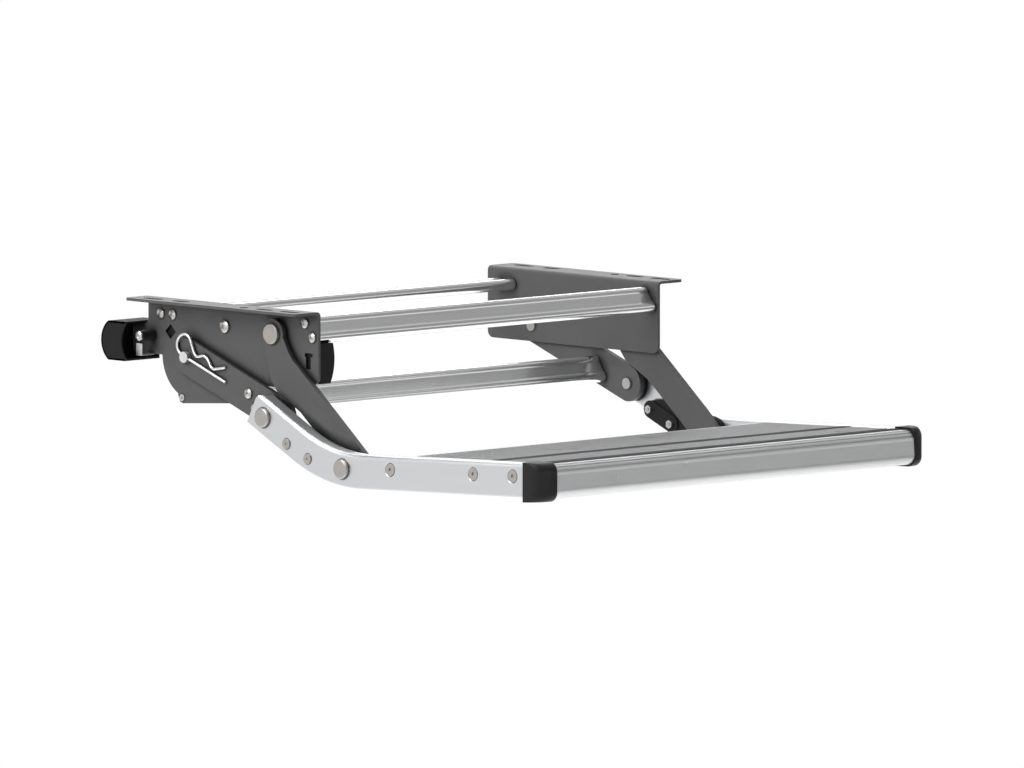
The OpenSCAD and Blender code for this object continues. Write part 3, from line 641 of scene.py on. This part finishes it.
def mould_cap(side, node):
    """The cap of one rail; side is -1 at the left and 1 at the right."""
    low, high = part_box(node)
    inner = min(abs(low[0]), abs(high[0]))
    outer = max(abs(low[0]), abs(high[0]))
    lift = (high[1] - low[1]) * math.sin(TILT)
    middle = (low[1] + high[1]) / 2
    bottom, top = low[2] + lift / 2 - LOWER_LIP, high[2] - lift / 2
    front, back = low[1] + FRONT_SETBACK, high[1] - BACK_SETBACK
    stations = [(inner, 0.0)]
    for k in range(CORNER_STEPS + 1):
        a = math.radians(90 * k / CORNER_STEPS)
        stations.append((outer - CORNER + CORNER * math.sin(a), CORNER * (1 - math.cos(a))))
    rings = []
    for x, fall in stations:
        level = cap_ring(side * x, front + fall, back, bottom, top)
        rings.append([(px, y, z - (y - middle) * math.tan(TILT)) for px, y, z in level])
    points, faces = skin(rings)
    if side < 0:
        faces = [tuple(reversed(face)) for face in faces]
    mesh = bpy.data.meshes.new("moulded_" + node)
    mesh.from_pydata(points, [], faces)
    mesh.polygons.foreach_set("use_smooth", [False, False] + [True] * (len(faces) - 2))
    mesh.set_sharp_from_angle(angle=CREASE)
    mesh.materials.append(cap_plastic)
    cap = bpy.data.objects.new("moulded_" + node, mesh)
    bpy.context.scene.collection.objects.link(cap)
    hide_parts(node)
    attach(cap, "tread")
    return cap


caps = [mould_cap(-1, "left_end_cap"), mould_cap(1, "right_end_cap")]
print("caps:", [cap.name for cap in caps])

# %% [markdown]
# ## Floor and light
#
# The step hangs under a floor in use, so here it floats above a white studio floor. The floor
# shows as white to the camera and to mirrors, with just enough true shading mixed in to keep the
# soft shadow under the tread. A broad lamp from the upper left shapes the plates and one from above
# lights the flanges. A long one behind draws the bright upper edges of the tubes, and a faint one
# in front lifts the tread's face. The world fills the rest in bands of light and dark, because
# bare metal shows little but what it mirrors.

# %% Studio
FLOOR_Z = -0.42
FLOOR_HALF = 60.0
FLOOR_SHARE = 0.992
WHITE = 1.0
RANGE_SOCKETS = ("From Min", "From Max", "To Min", "To Max")
UNDER_STEP = (0.7, 1.5, 1.45, 0.0)
LEFT_TO_RIGHT = (-2.5, 1.2, 0.90, 0.22)


def mirrored_floor(tree, glossy):
    """White to the camera; to mirrors bright under the step and at the left, grey at the right."""
    where = add(tree, "ShaderNodeTexCoord")
    length = add(tree, "ShaderNodeVectorMath", operation="LENGTH")
    tree.links.new(where.outputs["Object"], length.inputs[0])
    near = add(tree, "ShaderNodeMapRange")
    split = add(tree, "ShaderNodeSeparateXYZ")
    side = add(tree, "ShaderNodeMapRange")
    tree.links.new(length.outputs["Value"], near.inputs["Value"])
    tree.links.new(where.outputs["Object"], split.inputs["Vector"])
    tree.links.new(split.outputs["X"], side.inputs["Value"])
    for node, places in ((near, UNDER_STEP), (side, LEFT_TO_RIGHT)):
        for name, place in zip(RANGE_SOCKETS, places):
            node.inputs[name].default_value = place
    brighter = add(tree, "ShaderNodeMath", operation="MAXIMUM")
    tree.links.new(near.outputs["Result"], brighter.inputs[0])
    tree.links.new(side.outputs["Result"], brighter.inputs[1])
    choose = add(tree, "ShaderNodeMix", data_type="FLOAT")
    choose.inputs["A"].default_value = WHITE
    tree.links.new(glossy, choose.inputs["Factor"])
    tree.links.new(brighter.outputs["Value"], choose.inputs["B"])
    return choose.outputs["Result"]


def studio_floor():
    """A wide white plane that still takes a little true shadow."""
    mesh = bpy.data.meshes.new("studio_floor")
    turns = ((-1, -1), (1, -1), (1, 1), (-1, 1))
    corners = [(x * FLOOR_HALF, y * FLOOR_HALF, FLOOR_Z) for x, y in turns]
    mesh.from_pydata(corners, [], [(0, 1, 2, 3)])
    floor = bpy.data.objects.new("studio_floor", mesh)
    bpy.context.scene.collection.objects.link(floor)
    material, tree, shader = new_material("white_floor", (0.85, 0.85, 0.85), 0.0, 0.9)
    glow = add(tree, "ShaderNodeEmission", Strength=WHITE)
    path = add(tree, "ShaderNodeLightPath")
    seen = add(tree, "ShaderNodeMath", operation="MAXIMUM")
    tree.links.new(path.outputs["Is Camera Ray"], seen.inputs[0])
    tree.links.new(path.outputs["Is Glossy Ray"], seen.inputs[1])
    tree.links.new(mirrored_floor(tree, path.outputs["Is Glossy Ray"]), glow.inputs["Strength"])
    share = add(tree, "ShaderNodeMath", operation="MULTIPLY")
    share.inputs[1].default_value = FLOOR_SHARE
    tree.links.new(seen.outputs["Value"], share.inputs[0])
    mix = add(tree, "ShaderNodeMixShader")
    tree.links.new(share.outputs["Value"], mix.inputs["Fac"])
    tree.links.new(shader.outputs["BSDF"], mix.inputs[1])
    tree.links.new(glow.outputs["Emission"], mix.inputs[2])
    tree.links.new(mix.outputs["Shader"], tree.nodes["Material Output"].inputs["Surface"])
    mesh.materials.append(material)
    return floor


def soft_lamp(name, place, aim, size, watts):
    """A rectangular area lamp that looks from its place to its aim."""
    data = bpy.data.lights.new(name, "AREA")
    data.shape = "RECTANGLE"
    data.size, data.size_y = size
    data.energy = watts
    lamp = bpy.data.objects.new(name, data)
    lamp.location = place
    lamp.rotation_euler = (Vector(aim) - Vector(place)).to_track_quat("-Z", "Y").to_euler()
    bpy.context.scene.collection.objects.link(lamp)
    return lamp


LOW_SKY, HIGH_SKY = 0.75, 1.9
SKY_BANDS = (
    (0.47, 0.75), (0.50, 1.25), (0.57, 1.25), (0.66, 0.42), (0.84, 0.40), (0.93, 1.8),
)


def studio_world(ambient):
    """Soft light in bands, bright at the horizon, dark above it and bright overhead."""
    world = bpy.data.worlds.new("studio")
    bpy.context.scene.world = world
    world.use_nodes = True
    tree = world.node_tree
    room = tree.nodes["Background"]
    room.inputs["Strength"].default_value = ambient
    where = add(tree, "ShaderNodeTexCoord")
    split = add(tree, "ShaderNodeSeparateXYZ")
    tree.links.new(where.outputs["Generated"], split.inputs["Vector"])
    height = add(tree, "ShaderNodeMapRange")
    height.inputs["From Min"].default_value = -1.0
    tree.links.new(split.outputs["Z"], height.inputs["Value"])
    bands = add(tree, "ShaderNodeValToRGB")
    bands.color_ramp.elements[0].color = (LOW_SKY, LOW_SKY, LOW_SKY, 1)
    bands.color_ramp.elements[1].color = (HIGH_SKY, HIGH_SKY, HIGH_SKY, 1)
    for place, shade in SKY_BANDS:
        band = bands.color_ramp.elements.new(place)
        band.color = (shade, shade, shade, 1)
    tree.links.new(height.outputs["Result"], bands.inputs["Fac"])
    tree.links.new(bands.outputs["Color"], room.inputs["Color"])
    shown = add(tree, "ShaderNodeBackground", Strength=WHITE)
    path = add(tree, "ShaderNodeLightPath")
    mix = add(tree, "ShaderNodeMixShader")
    tree.links.new(path.outputs["Is Camera Ray"], mix.inputs["Fac"])
    tree.links.new(room.outputs["Background"], mix.inputs[1])
    tree.links.new(shown.outputs["Background"], mix.inputs[2])
    tree.links.new(mix.outputs["Shader"], tree.nodes["World Output"].inputs["Surface"])


studio_floor()
studio_world(0.72)
LAMPS = (
    ("key_lamp", (-2.2, 0.4, 1.3), (0, -0.1, -0.1), (1.5, 1.2), 40),
    ("top_lamp", (0.5, 1.0, 2.6), (0, 0, 0), (1.6, 1.6), 60),
    ("back_lamp", (2.3, 2.0, 1.55), (0, 0, -0.1), (1.8, 0.6), 12),
    ("front_lamp", (-0.6, -2.6, -0.1), (0, -0.2, -0.15), (1.8, 0.5), 2.5),
)
lamps = [soft_lamp(*lamp) for lamp in LAMPS]
print("lamps:", [lamp.name for lamp in lamps])
